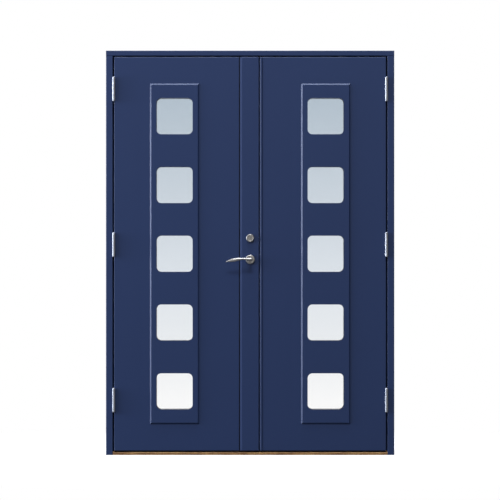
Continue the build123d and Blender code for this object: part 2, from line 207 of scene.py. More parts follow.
def satin_glass(tree, place):
    height = add(tree, "ShaderNodeSeparateXYZ", {"Vector": place})
    share = add(tree, "ShaderNodeMapRange", {
        "Value": height.outputs["Z"], "From Min": GLASS_LOW_MM * MM, "From Max": GLASS_HIGH_MM * MM})
    # Painted reflection: near white low on the leaf, blue-grey high up
    painted_reflection = add(tree, "ShaderNodeValToRGB", {"Fac": share.outputs["Result"]})
    ramp = painted_reflection.color_ramp.elements
    ramp[0].color = linear(GLASS_REFLECTION_LOW)
    ramp[1].color = linear(GLASS_REFLECTION_HIGH)
    ramp.new(0.5).color = linear(GLASS_REFLECTION_MIDDLE)
    etch = add(tree, "ShaderNodeTexNoise", {"Vector": place, "Scale": per_metre(ETCH_MM), "Detail": 2.0})
    rough = add(tree, "ShaderNodeMapRange", {
        "Value": etch.outputs["Fac"], "To Min": GLASS_ROUGHNESS[0], "To Max": GLASS_ROUGHNESS[1]})
    return add(tree, "ShaderNodeBsdfPrincipled", {
        "Base Color": painted_reflection.outputs["Color"], "Roughness": rough.outputs["Result"], "IOR": GLASS_IOR,
        "Transmission Weight": 1.0})


GLASS = finish_material("satin_glass", satin_glass)

# %% [markdown]
# The lever set is satin stainless steel, brushed along its length. Fine scratches soften the highlights
# across the grain. An anisotropic shader could do that too, but stretched noise in the roughness and the
# bump also shows the scratches close up. The lock plates have the same steel, ground upwards.

# %% Stainless steel
STEEL = "#A9A6A1"
STEEL_ROUGHNESS = (0.38, 0.50)
BRUSH_MM = 0.5
SCRATCH_MM = 0.03
ALONG_LEVER = (0.05, 1.0, 1.0)
ALONG_PLATE = (1.0, 1.0, 0.05)


def brushed_steel(tree, place, stretch=ALONG_LEVER):
    along = add(tree, "ShaderNodeMapping", {"Vector": place, "Scale": stretch})
    lines = add(tree, "ShaderNodeTexNoise", {
        "Vector": along.outputs["Vector"], "Scale": per_metre(BRUSH_MM), "Detail": 2.0})
    rough = add(tree, "ShaderNodeMapRange", {
        "Value": lines.outputs["Fac"], "To Min": STEEL_ROUGHNESS[0], "To Max": STEEL_ROUGHNESS[1]})
    bump = add(tree, "ShaderNodeBump", {
        "Height": lines.outputs["Fac"], "Strength": 0.15, "Distance": SCRATCH_MM * MM})
    return add(tree, "ShaderNodeBsdfPrincipled", {
        "Base Color": linear(STEEL), "Metallic": 1.0, "Roughness": rough.outputs["Result"],
        "Normal": bump.outputs["Normal"]})


def ground_plate(tree, place):
    return brushed_steel(tree, place, ALONG_PLATE)


STEEL_SATIN = finish_material("brushed_stainless_steel", brushed_steel)
STEEL_PLATE = finish_material("ground_stainless_plate", ground_plate)

# %% [markdown]
# The pockets of the lock, the gap round the key plug and the key slot are painted shade: a dark, patchy
# metal stands in for the shade deep in those holes. Plain black could stand in for it, but a metal with two
# dark tones still catches a little light, so the pockets look deep rather than flat.

# %% Dark steel for painted shade
SHADE_STEEL_DEEP = "#1A1918"
SHADE_STEEL_PATCH = "#2A2826"
SHADE_STEEL_ROUGHNESS = (0.45, 0.65)
SHADE_PATCH_MM = 2.0


def blackened_steel(tree, place):
    patches = add(tree, "ShaderNodeTexNoise", {
        "Vector": place, "Scale": per_metre(SHADE_PATCH_MM), "Detail": 4.0})
    tone = add(tree, "ShaderNodeMix", {
        "Factor": patches.outputs["Fac"], "A": linear(SHADE_STEEL_DEEP), "B": linear(SHADE_STEEL_PATCH)}, data_type="RGBA")
    rough = add(tree, "ShaderNodeMapRange", {
        "Value": patches.outputs["Fac"], "To Min": SHADE_STEEL_ROUGHNESS[0], "To Max": SHADE_STEEL_ROUGHNESS[1]})
    return add(tree, "ShaderNodeBsdfPrincipled", {
        "Base Color": tone.outputs["Result"], "Metallic": 1.0, "Roughness": rough.outputs["Result"]})


STEEL_PAINTED_SHADE = finish_material("blackened_steel", blackened_steel)

# %% [markdown]
# The hinges are steel with a bright zinc plate, a little cloudy, and the spacers between the panes are plain
# extruded aluminium. One grey metal could serve for both, but a metal's look is all in its reflections, so
# each has its own tone and its own range of roughness.

# %% Zinc and aluminium
ZINC = "#A6A8AC"
ZINC_ROUGHNESS = (0.42, 0.54)
ALUMINIUM = "#A9ABAD"
ALUMINIUM_ROUGHNESS = (0.35, 0.5)
CLOUD_MM = 14.0


def bright_zinc(tree, place):
    cloud = add(tree, "ShaderNodeTexNoise", {"Vector": place, "Scale": per_metre(CLOUD_MM), "Detail": 4.0})
    rough = add(tree, "ShaderNodeMapRange", {
        "Value": cloud.outputs["Fac"], "To Min": ZINC_ROUGHNESS[0], "To Max": ZINC_ROUGHNESS[1]})
    return add(tree, "ShaderNodeBsdfPrincipled", {
        "Base Color": linear(ZINC), "Metallic": 1.0, "Roughness": rough.outputs["Result"]})


def dull_aluminium(tree, place):
    mill = add(tree, "ShaderNodeTexNoise", {"Vector": place, "Scale": per_metre(CLOUD_MM), "Detail": 3.0})
    rough = add(tree, "ShaderNodeMapRange", {
        "Value": mill.outputs["Fac"], "To Min": ALUMINIUM_ROUGHNESS[0], "To Max": ALUMINIUM_ROUGHNESS[1]})
    return add(tree, "ShaderNodeBsdfPrincipled", {
        "Base Color": linear(ALUMINIUM), "Metallic": 1.0, "Roughness": rough.outputs["Result"]})


ZINC_BRIGHT = finish_material("bright_zinc_plate", bright_zinc)
ALUMINIUM_DULL = finish_material("extruded_aluminium", dull_aluminium)

# %% [markdown]
# The seals are black extruded rubber, matt, with a faint bloom that makes some stretches duller.
# One flat black would hide their shape, so the tone and the roughness follow one cloudy noise.

# %% Rubber
RUBBER_BLACK = "#0C0C0E"
RUBBER_BLOOM = "#17171A"
RUBBER_ROUGHNESS = (0.55, 0.75)
RUBBER_SPECULAR = 0.3
BLOOM_MM = 6.0


def extruded_rubber(tree, place):
    bloom = add(tree, "ShaderNodeTexNoise", {"Vector": place, "Scale": per_metre(BLOOM_MM), "Detail": 4.0})
    tone = add(tree, "ShaderNodeMix", {
        "Factor": bloom.outputs["Fac"], "A": linear(RUBBER_BLACK), "B": linear(RUBBER_BLOOM)},
        data_type="RGBA")
    rough = add(tree, "ShaderNodeMapRange", {
        "Value": bloom.outputs["Fac"], "To Min": RUBBER_ROUGHNESS[0], "To Max": RUBBER_ROUGHNESS[1]})
    return add(tree, "ShaderNodeBsdfPrincipled", {
        "Base Color": tone.outputs["Result"], "Roughness": rough.outputs["Result"],
        "Specular IOR Level": RUBBER_SPECULAR})


RUBBER = finish_material("extruded_rubber", extruded_rubber)

# %% [markdown]
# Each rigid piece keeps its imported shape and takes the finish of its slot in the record. Every piece
# could be named here with its finish, but the record already has that list, so a loop follows it.

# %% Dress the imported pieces
finish_of_slot = {
    "blue_paint": PAINT, "oak": OAK, "glass": GLASS, "spacer_aluminium": ALUMINIUM_DULL,
    "black_rubber": RUBBER, "bright_zinc": ZINC_BRIGHT, "satin_steel": STEEL_SATIN,
    "lock_steel": STEEL_PLATE,
}
for subpart in frame["record"]["subparts"]:
    mesh = nodes[subpart["node"]].data
    mesh.materials.clear()
    mesh.materials.append(finish_of_slot[subpart["material_slot"]])

# %% [markdown]
# A rubber seal is one profile pushed through a die and laid along a path. It could be modelled point by
# point, but Geometry Nodes do the same as the die: the object's own edges become the path, its corners
# are rounded, and Curve to Mesh draws the profile along it. The profile comes in as an object, so that
# one tree makes every seal and every strip of trim on the door.

# %% Tree that lays a profile along a path
def new_tree(name, sockets):
    """A Geometry Nodes tree with named inputs, its Group Input and its Group Output."""
    tree = bpy.data.node_groups.new(name, "GeometryNodeTree")
    tree.interface.new_socket("Geometry", in_out="INPUT", socket_type="NodeSocketGeometry")
    for socket_name, kind in sockets:
        tree.interface.new_socket(socket_name, in_out="INPUT", socket_type=kind)
    tree.interface.new_socket("Geometry", in_out="OUTPUT", socket_type="NodeSocketGeometry")
    return tree, tree.nodes.new("NodeGroupInput"), tree.nodes.new("NodeGroupOutput")


seal_tree, given, made = new_tree("profile_along_path", [
    ("Profile", "NodeSocketObject"), ("Corner Radius", "NodeSocketFloat"),
    ("Material", "NodeSocketMaterial")])
path = add(seal_tree, "GeometryNodeMeshToCurve", {"Mesh": given.outputs["Geometry"]})
rounded = add(seal_tree, "GeometryNodeFilletCurve", {
    "Curve": path.outputs["Curve"], "Radius": given.outputs["Corner Radius"], "Limit Radius": True})
outline_of = add(seal_tree, "GeometryNodeObjectInfo", {"Object": given.outputs["Profile"]})
outline = add(seal_tree, "GeometryNodeMeshToCurve", {"Mesh": outline_of.outputs["Geometry"]})
drawn = add(seal_tree, "GeometryNodeCurveToMesh", {
    "Curve": rounded.outputs["Curve"], "Profile Curve": outline.outputs["Curve"], "Fill Caps": True})
whole = add(seal_tree, "GeometryNodeRealizeInstances", {"Geometry": drawn.outputs["Mesh"]})
dressed = add(seal_tree, "GeometryNodeSetMaterial", {
    "Geometry": whole.outputs["Geometry"], "Material": given.outputs["Material"]})
seal_tree.links.new(dressed.outputs["Geometry"], made.inputs["Geometry"])
print("tree:", seal_tree.name, "with", len(seal_tree.nodes), "nodes")


# %% [markdown]
# Every tree is used in the same way: it is put on an object, its inputs are set by their identifiers,
# and the result is kept as a plain mesh at the origin, without the modifier. The modifier could stay
# live, but a plain mesh is what rides on a moving leaf.

# %% Helpers that turn a tree into a piece
MERGE_BELOW = 0.01 * MM


def in_scene(name, data):
    """A new object at the origin, linked to the scene."""
    item = bpy.data.objects.new(name, data)
    bpy.context.scene.collection.objects.link(item)
    return item


def line_object(name, points, closed=False):
    """An object whose mesh is a chain of edges through points in millimetres."""
    mesh = bpy.data.meshes.new(name)
    edges = [(i, i + 1) for i in range(len(points) - 1)]
    if closed:
        edges.append((len(points) - 1, 0))
    mesh.from_pydata([Vector(p) * MM for p in points], edges, [])
    return in_scene(name, mesh)


def piece_from_tree(item, tree, values):
    """Run a tree on an object and keep what it makes as that object's plain mesh."""
    modifier = item.modifiers.new(tree.name, "NODES")
    modifier.node_group = tree
    for socket in tree.interface.items_tree:
        if socket.in_out == "INPUT" and socket.name in values:
            modifier[socket.identifier] = values[socket.name]
    bpy.context.view_layer.update()
    evaluated = item.evaluated_get(bpy.context.evaluated_depsgraph_get())
    mesh = bpy.data.meshes.new_from_object(evaluated)
    item.modifiers.remove(modifier)
    item.data = mesh
    outward = bmesh.new()
    outward.from_mesh(mesh)
    bmesh.ops.remove_doubles(outward, verts=outward.verts, dist=MERGE_BELOW)
    bmesh.ops.recalc_face_normals(outward, faces=outward.faces)
    outward.to_mesh(mesh)
    outward.free()
    mesh.name = item.name
    low = [round(min(v.co[i] for v in mesh.vertices) / MM, 1) for i in range(3)]
    high = [round(max(v.co[i] for v in mesh.vertices) / MM, 1) for i in range(3)]
    print(item.name, len(mesh.polygons), "faces from", low, "to", high)


def profile_run(name, outline, route, material, body, corner=0.0):
    """A piece with one outline, in millimetres, along a route, that rides on a body."""
    profile = line_object("profile", [(x, y, 0) for x, y in outline], True)
    item = line_object(name, route)
    piece_from_tree(item, seal_tree, {
        "Profile": profile, "Corner Radius": corner * MM, "Material": material})
    bpy.data.objects.remove(profile)
    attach(item, body)
    return item


# %% [markdown]
# The frame's seal is a soft bulb on a foot. It runs up one jamb, across the head and down the other, and
# behind the closed leaves the bulb just meets their inside faces. Three straight pieces would leave
# open corners, so it is one run. On a path that starts upwards, the profile's X and Y are the door's own
# X and Y, so the profile is drawn as seen from above.

# %% Bulb seal round the frame
# Sizes of the pieces that are made here are in millimetres, and the bulb's two angles in degrees
BULB_RADIUS = 3.0
BULB_STEPS = 20
BULB_START = -230
BULB_SWEEP = 280
BULB_CLEAR = 0.1
FOOT_HALF = 2.6
SEAL_CORNER = 8
seal_low, seal_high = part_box("left_jamb_seal")
head_low, head_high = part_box("head_seal")
seal_x = abs(seal_low.x + seal_high.x) / 2 / MM
seal_top = (head_low.z + head_high.z) / 2 / MM
seal_foot = seal_low.z / MM
seal_back = seal_high.y / MM
leaf_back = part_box("left_leaf_slab")[1].y / MM
bulb_centre = leaf_back + BULB_CLEAR + BULB_RADIUS - seal_back
bulb = []
for step in range(BULB_STEPS + 1):
    turn = math.radians(BULB_START + BULB_SWEEP * step / BULB_STEPS)
    bulb.append((BULB_RADIUS * math.cos(turn), BULB_RADIUS * math.sin(turn) + bulb_centre))
foot = [(FOOT_HALF, 0), (-FOOT_HALF, 0)]
frame_seal = profile_run("frame_seal", bulb + foot, [
    (-seal_x, seal_back, seal_foot), (-seal_x, seal_back, seal_top),
    (seal_x, seal_back, seal_top), (seal_x, seal_back, seal_foot)],
    RUBBER, "frame", SEAL_CORNER)
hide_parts("left_jamb_seal", "right_jamb_seal", "head_seal")

# %% [markdown]
# The cover strip ends in a narrow rounded nosing where the leaves meet, and the right leaf has a slim bead
# on its edge, in the blue paint, that catches the light. Deep in the groove on the strip's other side lies a
# black rubber bead that is painted shade: it darkens the groove as its own shadow would. Bevels on the
# imported pieces could hint at them, but that would change those pieces. All three are straight runs of one
# profile, so the seal tree draws them as well.

# %% Nosing and beads of the meeting edges
NOSING = 3.4
NOSING_ROUND = 2.6
NOSING_SET_BACK = 0.9
NOSING_STOP = 2.0
ROUND_STEPS = 6
STRIP_TOP_GAP = 3.0
GROOVE_HALF = 2.6
SHADE_BEAD_CLEAR = 0.1
RIGHT_EDGE = 51.0
SHADE_BEAD_OUTLINE = [(-2.5, 0), (-2.5, -2.0), (-1.4, -3.0), (0, -3.4), (1.4, -3.0), (2.5, -2.0), (2.5, 0)]
EDGE_OUTLINE = [
    (-0.8, 5.4), (-0.8, 2.6), (-0.4, 2.0), (3.7, -1.7), (4.2, -1.85), (8.6, -1.8), (9.4, -1.65),
    (15.0, -0.05), (15.0, 0.2), (6.6, 0.4), (0.2, 6.4)]
strip_low, strip_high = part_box("cover_strip")
strip_front = strip_low.y / MM
strip_back = strip_high.y / MM
strip_edge = strip_high.x / MM
groove_middle = strip_low.x / MM - GROOVE_HALF
leaf_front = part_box("right_leaf_slab")[0].y / MM
nosing_back = strip_back - strip_front - NOSING_STOP
nosing_outline = [(0, nosing_back), (0, NOSING_SET_BACK)]
for step in range(ROUND_STEPS + 1):
    turn = math.pi / 2 * step / ROUND_STEPS
    nosing_outline.append((
        NOSING - NOSING_ROUND + NOSING_ROUND * math.sin(turn),
        NOSING_SET_BACK + NOSING_ROUND * (1 - math.cos(turn))))
nosing_outline.append((NOSING, nosing_back))


def strip_run(x, y):
    """The upright route at x and y, as long as the cover strip but for the gap at its top."""
    return [(x, y, strip_low.z / MM), (x, y, strip_high.z / MM - STRIP_TOP_GAP)]


profile_run("strip_nosing", nosing_outline, strip_run(strip_edge, strip_front), PAINT,
            "left_leaf")
# Painted shade: a black rubber bead that darkens the groove as its shadow would
profile_run("groove_bead", SHADE_BEAD_OUTLINE, strip_run(groove_middle, strip_back - SHADE_BEAD_CLEAR), RUBBER,
            "left_leaf")
profile_run("right_edge_bead", EDGE_OUTLINE, strip_run(RIGHT_EDGE, leaf_front), PAINT,
            "right_leaf")

# %% [markdown]
# The right leaf closes against the left one with a lip: a foot in the groove of its edge and a thin
# blade that touches the cover strip. The same kind of profile makes the sweep under each leaf, whose two
# blades rest on the threshold. Brushes could close these gaps too, but plain lips are what a front door
# of this kind has. On a level path the profile's Y points down.

# %% Lip seals of the leaves
LIP = 0.9
LIP_FOOT = 15.8
LIP_BASE = 4.2
LIP_CLEAR = 0.05
BLADE_ROOT = 1.2
BLADE_FACE = -1.4
SEAL_HALF = 2.9
SWEEP_FOOT = 2.4
SWEEP_TIP = 2.4
SWEEP_ROOT = (0.9, 2.8)
SWEEP_PRESS = 1.6
SWEEP_SHORT = 0.3
lip_low, lip_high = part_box("meeting_seal")
lip_x = lip_high.x / MM
lip_y = (lip_low.y + lip_high.y) / 2 / MM
reach = lip_x - strip_edge - NOSING - LIP_CLEAR
lip_outline = [
    (0, SEAL_HALF), (-LIP_BASE, SEAL_HALF), (-LIP_BASE, BLADE_ROOT), (-reach, BLADE_FACE + LIP),
    (-reach, BLADE_FACE), (-LIP_BASE, BLADE_FACE), (-LIP_BASE, -SEAL_HALF), (0, -SEAL_HALF)]
meeting_lip = profile_run("meeting_lip", lip_outline, [
    (lip_x, lip_y, LIP_FOOT), (lip_x, lip_y, lip_high.z / MM)], RUBBER, "right_leaf")
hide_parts("meeting_seal")
for side in ("left", "right"):
    low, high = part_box(f"{side}_bottom_sweep")
    drop = (high.z - low.z) / MM + SWEEP_PRESS
    half_sweep = [
        (SEAL_HALF, 0), (SEAL_HALF, SWEEP_FOOT), (SWEEP_TIP, drop), (SWEEP_TIP - LIP, drop), SWEEP_ROOT]
    sweep_outline = [(-SEAL_HALF, 0)] + half_sweep + [(-x, y) for x, y in reversed(half_sweep[1:])]
    sweep_y = (low.y + high.y) / 2 / MM
    sweep_end = strip_edge + NOSING - SWEEP_SHORT if side == "left" else high.x / MM
    sweep = profile_run(f"{side}_sweep_blades", sweep_outline, [
        (low.x / MM, sweep_y, high.z / MM), (sweep_end, sweep_y, high.z / MM)],
        RUBBER, f"{side}_leaf")
    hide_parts(f"{side}_bottom_sweep")

# %% [markdown]
# The small hard pieces that follow are built in mesh code, from loops of points that are joined by faces.
# Cut-outs in a solid could give the same shapes, but loops keep the faces few and even.

# %% Helpers for shapes made of loops
def join_loops(shape, loops, closed=False):
    """Faces between neighbouring loops of points: a closed chain of loops, or a chain with end caps."""
    following = loops[1:] + loops[:1] if closed else loops[1:]
    for a, b in zip(loops, following):
        for i in range(len(a)):
            j = (i + 1) % len(a)
            shape.faces.new((a[i], b[i], b[j], a[j]))
    if not closed:
        shape.faces.new(list(reversed(loops[0])))
        shape.faces.new(loops[-1])


def keep_shape(shape, name, material=None, smooth_below=None):
    """The finished shape as an object, its faces outwards and, if asked, smooth below an angle."""
    bmesh.ops.recalc_face_normals(shape, faces=shape.faces)
    if smooth_below:
        for face in shape.faces:
            face.smooth = True
        for edge in shape.edges:
            edge.smooth = edge.calc_face_angle(0.0) < smooth_below
    mesh = bpy.data.meshes.new(name)
    shape.to_mesh(mesh)
    shape.free()
    if material:
        mesh.materials.append(material)
    print(name, len(mesh.polygons), "faces")
    return in_scene(name, mesh)


# %% [markdown]
# Hinge plates and lock plates are held by countersunk screws with a six-lobed recess. One head of radius 1
# is made here from five loops, given as radius, height and depth of the lobes. A cutter could sink the
# recess, but a cosine in the radius of the inner loops draws the same lobes.

# %% One screw head
HEAD_SEGMENTS = 36
HEAD_LOBES = 6
HEAD_RINGS = [
    (1.0, 0.0, 0.0), (0.97, 0.09, 0.0), (0.80, 0.17, 0.0), (0.46, 0.19, 0.055), (0.42, 0.04, 0.05)]
head = bmesh.new()
rings = []
for radius, height, lobes in HEAD_RINGS:
    ring = []
    for step in range(HEAD_SEGMENTS):
        turn = 2 * math.pi * step / HEAD_SEGMENTS
        r = radius + lobes * math.cos(HEAD_LOBES * turn)
        ring.append(head.verts.new((r * math.cos(turn), r * math.sin(turn), height)))
    rings.append(ring)
join_loops(head, rings)
head_shape = keep_shape(head, "screw_head")

# %% [markdown]
# A second tree sets a copy of a shape at every place. Copies could be made in a loop, one object each, but
# points that carry the direction they face let one tree serve all plates, and each leaf's screws stay
# one piece that rides with it.

# %% Tree that sets one shape at every place
place_tree, given, made = new_tree("shape_at_places", [
    ("Shape", "NodeSocketObject"), ("Size", "NodeSocketFloat"), ("Material", "NodeSocketMaterial")])
places = add(place_tree, "GeometryNodeMeshToPoints", {"Mesh": given.outputs["Geometry"]})
faces = add(place_tree, "GeometryNodeInputNamedAttribute", {"Name": "faces"}, data_type="FLOAT_VECTOR")
turned = add(place_tree, "FunctionNodeAlignRotationToVector", {
    "Vector": faces.outputs["Attribute"]}, axis="Z")
shape_of = add(place_tree, "GeometryNodeObjectInfo", {"Object": given.outputs["Shape"]})
copies = add(place_tree, "GeometryNodeInstanceOnPoints", {
    "Points": places.outputs["Points"], "Instance": shape_of.outputs["Geometry"],
    "Rotation": turned.outputs["Rotation"], "Scale": given.outputs["Size"]})
whole = add(place_tree, "GeometryNodeRealizeInstances", {"Geometry": copies.outputs["Instances"]})
dressed = add(place_tree, "GeometryNodeSetMaterial", {
    "Geometry": whole.outputs["Geometry"], "Material": given.outputs["Material"]})
place_tree.links.new(dressed.outputs["Geometry"], made.inputs["Geometry"])
print("tree:", place_tree.name, "with", len(place_tree.nodes), "nodes")


def copies_at(name, spots, shape, size, material, body):
    """A piece with a copy of a shape at each spot, given as a place in metres and the way it faces."""
    mesh = bpy.data.meshes.new(name)
    mesh.from_pydata([place for place, facing in spots], [], [])
    attribute = mesh.attributes.new("faces", "FLOAT_VECTOR", "POINT")
    for value, (place, facing) in zip(attribute.data, spots):
        value.vector = facing
    item = in_scene(name, mesh)
    piece_from_tree(item, place_tree, {"Shape": shape, "Size": size, "Material": material})
    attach(item, body)


# %% [markdown]
# Each hinge plate has four screws, behind the knuckle: one plate in the frame and one in the edge of the
# leaf. Their heights could be typed in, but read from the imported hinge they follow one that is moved.

# %% Screws of the hinges
HINGE_SCREW_RADIUS = 4.2 * MM
PLATE_SCREWS_Y = (-48 * MM, -27 * MM)
PLATE_SCREWS_Z = 15 * MM
# For each half of a hinge: the X of its plate's face, and its middle above the joint of the knuckles
HINGE_HALVES = {"frame": (710.0, -32.4), "leaf": (702.6, 31.6)}
LEVELS = ("bottom", "middle", "top")
spots = {"frame": [], "left_leaf": [], "right_leaf": []}
for side, sign in (("left", -1), ("right", 1)):
    for level in LEVELS:
        joint_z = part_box(f"{side}_{level}_hinge_leaf_half")[0].z
        for half, (face, middle) in HINGE_HALVES.items():
            body = "frame" if half == "frame" else f"{side}_leaf"
            away = -sign if half == "frame" else sign
            for y in PLATE_SCREWS_Y:
                for up in (-PLATE_SCREWS_Z, PLATE_SCREWS_Z):
                    spots[body].append(((sign * face * MM, y, joint_z + middle * MM + up), (away, 0, 0)))
for body, body_spots in spots.items():
    copies_at(f"{body}_hinge_screws", body_spots, head_shape, HINGE_SCREW_RADIUS, ZINC_BRIGHT,
              body)

# %% [markdown]
# The lock plates have a smaller screw near each end. They lie on meeting edges that fall back a little, so
# that the leaves clear each other, and their screws lean with them. The lean could be a rotation of each
# object, but the direction that a point carries already says it.

# %% Screws of the lock plates
LOCK_SCREW_RADIUS = 3.6 * MM
LEFT_EDGE = 45.0
EDGE_FALL = 3.5 / 62.0
PLATE_DEPTH = 38.0
PLATE_END = 9.0
# Plate, body, and -1 for the edge of the left leaf or 1 for that of the right
LOCK_PLATES = [
    ("lock_forend", "left_leaf", -1), ("strike_plate", "right_leaf", 1),
    ("bottom_flush_bolt", "right_leaf", 1), ("top_flush_bolt", "right_leaf", 1)]
EDGE_AT_PLATE = {-1: LEFT_EDGE - PLATE_DEPTH * EDGE_FALL, 1: RIGHT_EDGE + PLATE_DEPTH * EDGE_FALL}
PLATE_Y = leaf_front + PLATE_DEPTH
lock_spots = {"left_leaf": [], "right_leaf": []}
for plate, body, sign in LOCK_PLATES:
    low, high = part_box(plate)
    for z in (low.z + PLATE_END * MM, high.z - PLATE_END * MM):
        lock_spots[body].append(((EDGE_AT_PLATE[sign] * MM, PLATE_Y * MM, z), (-sign, EDGE_FALL, 0)))
for body, body_spots in lock_spots.items():
    copies_at(f"{body}_lock_screws", body_spots, head_shape, LOCK_SCREW_RADIUS, STEEL_PLATE,
              body)
bpy.data.objects.remove(head_shape)

# %% [markdown]
# A lift-off hinge turns on a thin washer between its two knuckles. The washer is a flat ring round the pin
# with slightly rounded rims. Each could be a cylinder with a hole, but one ring of a few loops, set at the
# six joints by the same tree, is lighter and has no cut.

# %% Hinge washers
WASHER_OUTER = 7.4
WASHER_INNER = 4.2
WASHER_HALF = 0.34
WASHER_RIM = 0.1
WASHER_SEGMENTS = 32
WASHER_DROP = 0.4
HINGE_X = 704.5
HINGE_Y = -66.0
section = [
    (WASHER_INNER, -WASHER_HALF), (WASHER_OUTER - WASHER_RIM, -WASHER_HALF), (WASHER_OUTER, 0.0),
    (WASHER_OUTER - WASHER_RIM, WASHER_HALF), (WASHER_INNER, WASHER_HALF)]
flat_ring = bmesh.new()
rings = []
for step in range(WASHER_SEGMENTS):
    turn = 2 * math.pi * step / WASHER_SEGMENTS
    rings.append([flat_ring.verts.new((r * math.cos(turn), r * math.sin(turn), z)) for r, z in section])
join_loops(flat_ring, rings, closed=True)
washer = keep_shape(flat_ring, "washer")
joints = []
for side, sign in (("left", -1), ("right", 1)):
    for level in LEVELS:
        joint_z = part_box(f"{side}_{level}_hinge_leaf_half")[0].z
        joints.append(((sign * HINGE_X * MM, HINGE_Y * MM, joint_z - WASHER_DROP * MM), (0, 0, 1)))
copies_at("hinge_washers", joints, washer, MM, ZINC_BRIGHT, "frame")
bpy.data.objects.remove(washer)

# %% [markdown]
# In the edge of the left leaf sit the heads of the latch and the bolt, drawn back into their plate, each
# in a pocket. In the edge of the right leaf the strike has two empty pockets, and each flush bolt has a
# small slide with finger grooves. All are bevelled blocks set into the slots of the imported plates. The
# pockets
# are painted shade: a hole could be cut for each, but a dark floor in the slot stands in for the shade deep
# in it and leaves the plates as they are.

# %% Bolt heads, pockets and slides
SLOT_DEPTH = 1.2
BLOCK_BEVEL = 0.2
BLOCK_FLOOR = 0.02
GROOVE_DEPTH = 0.4
LEVER_Z = 1011.0
CYLINDER_Z = 1121.0
LOW_SLIDE_Z = 134.0
HIGH_SLIDE_Z = 1947.0
# Name, side, height, width, length, rise of the top, slope of the top, rows along it, finish
EDGE_BLOCKS = [
    # The pockets are painted shade: dark floors that stand in for the shade deep in each slot
    ("bolt_pocket", -1, LEVER_Z, 12.9, 33.9, 0.25, 0.0, 2, STEEL_PAINTED_SHADE),
    ("latch_pocket", -1, CYLINDER_Z, 12.9, 23.9, 0.25, 0.0, 2, STEEL_PAINTED_SHADE),
    ("bolt_head", -1, LEVER_Z, 11.2, 31.6, 1.1, 0.0, 2, STEEL_PLATE),
    ("latch_head", -1, CYLINDER_Z, 11.2, 21.6, 1.15, 0.55, 2, STEEL_PLATE),
    ("strike_bolt_pocket", 1, LEVER_Z, 12.9, 33.9, 0.25, 0.0, 2, STEEL_PAINTED_SHADE),
    ("strike_latch_pocket", 1, CYLINDER_Z, 12.9, 23.9, 0.25, 0.0, 2, STEEL_PAINTED_SHADE),
    ("bottom_slide_pocket", 1, LOW_SLIDE_Z, 9.9, 59.8, 0.25, 0.0, 2, STEEL_PAINTED_SHADE),
    ("top_slide_pocket", 1, HIGH_SLIDE_Z, 9.9, 59.8, 0.25, 0.0, 2, STEEL_PAINTED_SHADE),
    ("bottom_bolt_slide", 1, LOW_SLIDE_Z, 9.0, 26.0, 1.1, 0.0, 8, STEEL_PLATE),
    ("top_bolt_slide", 1, HIGH_SLIDE_Z, 9.0, 26.0, 1.1, 0.0, 8, STEEL_PLATE),
]


def edge_block(name, sign, height, width, length, rise, slope, rows, material):
    """A block in a slot of a meeting edge: its top may slope, and more than two rows give it grooves."""
    out = Vector((-sign, EDGE_FALL, 0)).normalized()
    up = Vector((0, 0, 1))
    across = up.cross(out)
    base = Vector((EDGE_AT_PLATE[sign], PLATE_Y, height)) - SLOT_DEPTH * out
    half = width / 2
    flat = half - BLOCK_BEVEL
    shape = bmesh.new()
    loops = []
    for row in range(rows + 1):
        dip = GROOVE_DEPTH if rows > 2 and 2 <= row <= rows - 2 and row % 2 == 0 else 0.0
        loop = []
        for x, bevel in ((-half, BLOCK_BEVEL), (-flat, 0.0), (flat, 0.0), (half, BLOCK_BEVEL)):
            loop.append((x, rise - dip - slope * (x / width + 0.5) - bevel))
        loop += [(half, BLOCK_FLOOR), (-half, BLOCK_FLOOR)]
        along = base + up * length * (row / rows - 0.5)
        loops.append([shape.verts.new((along + across * x + out * top) * MM) for x, top in loop])
    join_loops(shape, loops)
    item = keep_shape(shape, name, material)
    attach(item, "left_leaf" if sign < 0 else "right_leaf")


for block in EDGE_BLOCKS:
    edge_block(*block)
print("edge blocks:", len(EDGE_BLOCKS))

# %% [markdown]
# The roses of the lever and the guard of the cylinder are turned on a lathe, so each has a shallow hollow
# face. A ring is made here in the same way: its section goes round the axis in steps. Blender's Spin or
# Screw could turn it too, but plain loops close the ring without doubled points. The key plug stands in
# the hollow, and the gap round it is painted shade: a thin ring of dark metal.

# %% Hollow faces of the lever set
TURN_STEPS = 64
SMOOTH_BELOW = math.radians(30)
ROSE_HOLLOW = [(16.45, 0.3), (15.9, 0.7), (14.0, 1.0), (11.2, 1.2), (8.9, 1.3), (8.9, 2.95), (16.45, 2.95)]
GUARD_HOLLOW = [(14.4, 0.3), (13.9, 0.6), (12.4, 0.8), (10.4, 0.9), (10.4, 2.35), (14.4, 2.35)]
PLUG_GAP = [(10.35, 2.0), (9.55, 2.0), (9.55, 2.35), (10.35, 2.35)]


def turned_ring(name, height, front, outward, section, material):
    """A closed ring about the line through (0, height), from a section given as radius and depth."""
    shape = bmesh.new()
    rings = []
    for step in range(TURN_STEPS):
        turn = 2 * math.pi * step / TURN_STEPS
        ring = []
        for r, depth in section:
            spot = Vector((r * math.cos(turn), front - outward * depth, height + r * math.sin(turn)))
            ring.append(shape.verts.new(spot * MM))
        rings.append(ring)
    join_loops(shape, rings, closed=True)
    item = keep_shape(shape, name, material, SMOOTH_BELOW)
    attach(item, "left_leaf")


